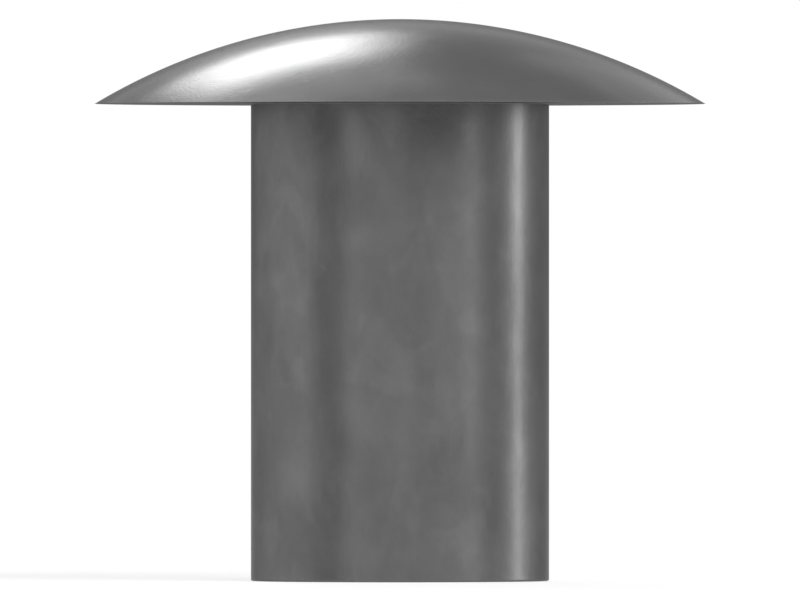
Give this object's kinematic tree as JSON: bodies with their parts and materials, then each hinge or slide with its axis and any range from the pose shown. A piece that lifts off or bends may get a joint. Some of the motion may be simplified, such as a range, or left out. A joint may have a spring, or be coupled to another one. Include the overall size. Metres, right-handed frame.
{
  "type": "hollow rivet",
  "caption": "Hollow steel rivet: a wide, shallow domed head with a thin rim over a plain tubular shank, bored from its tail so the wall can be flared to clamp sheets.",
  "frame": {"origin": "centre of the head's flat bearing face, where the rivet seats on the work", "axes": "+Z along the rivet's axis, up and out through the domed head; the shank hangs down along -Z; round about Z"},
  "size_m": [0.0102, 0.0102, 0.0094],
  "materials": {
    "steel": "satin bare steel, mid grey, faintly clouded, with a fine ripple left by forming"
  },
  "bodies": {
    "root": {"rivet": "steel"}
  },
  "joints": []
}
